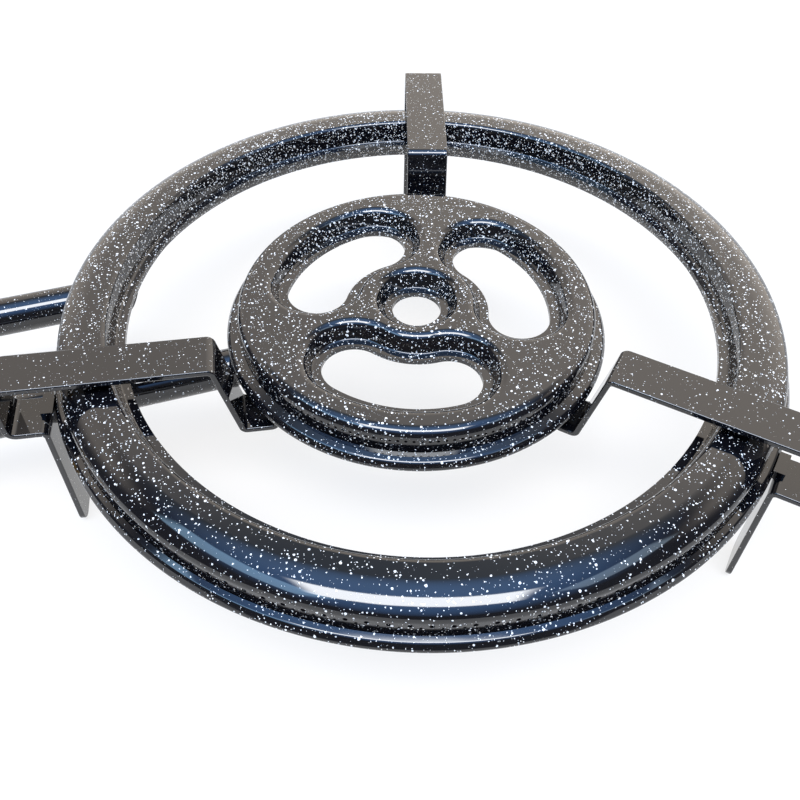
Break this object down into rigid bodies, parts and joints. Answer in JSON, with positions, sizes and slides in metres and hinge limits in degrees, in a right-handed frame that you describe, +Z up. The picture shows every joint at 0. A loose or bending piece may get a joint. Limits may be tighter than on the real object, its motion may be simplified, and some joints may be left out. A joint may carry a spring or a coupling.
{
  "type": "gas ring burner",
  "caption": "Enamelled gas burner with an outer flame ring round an inner flame disc, strip arms that hold the pan and stand as legs, and a tap on each mixing tube.",
  "frame": {"origin": "on the ground, on the outer ring's axis", "axes": "+Z up, the mixing tubes and taps run out along -X"},
  "size_m": [0.5643, 0.4144, 0.112],
  "materials": {
    "enamel": "glossy near-black vitreous enamel with fine white speckles",
    "zinc_steel": "zinc-plated steel",
    "brass": "turned brass",
    "knob_plastic": "moulded black thermoset",
    "seal_rubber": "fibre and rubber sealing ring"
  },
  "bodies": {
    "burner": {"ring_top": "enamel", "ring_pan": "enamel", "disc_top": "enamel", "disc_pan": "enamel", "left_arm": "enamel", "right_arm": "enamel", "back_arm": "enamel", "rim_welds": "enamel", "ring_mixing_tube": "enamel", "disc_mixing_tube": "enamel", "disc_studs": "zinc_steel", "disc_washers": "zinc_steel", "disc_nuts": "zinc_steel", "bonnet_screws": "zinc_steel", "ring_tube_bush": "zinc_steel", "disc_tube_bush": "zinc_steel", "gas_pipe": "zinc_steel", "ring_tap_spring": "zinc_steel", "disc_tap_spring": "zinc_steel", "ring_injector": "brass", "disc_injector": "brass", "ring_tap_body": "brass", "disc_tap_body": "brass", "ring_tap_bonnet": "brass", "disc_tap_bonnet": "brass", "pipe_end_plug": "brass", "inlet_bush": "brass", "hose_nozzle": "brass", "tap_seals": "seal_rubber", "inlet_seal": "seal_rubber"},
    "ring_tap": {"ring_tap_plug": "brass", "ring_knob": "knob_plastic"},
    "disc_tap": {"disc_tap_plug": "brass", "disc_knob": "knob_plastic"}
  },
  "joints": [
    {"name": "ring_tap_turn", "type": "hinge", "parent": "burner", "child": "ring_tap", "pos_m": [-0.334, 0.0998, 0.058], "axis": [-1, 0, 0], "range_deg": [0, 180]},
    {"name": "disc_tap_turn", "type": "hinge", "parent": "burner", "child": "disc_tap", "pos_m": [-0.334, 0.018, 0.058], "axis": [-1, 0, 0], "range_deg": [0, 180]}
  ]
}
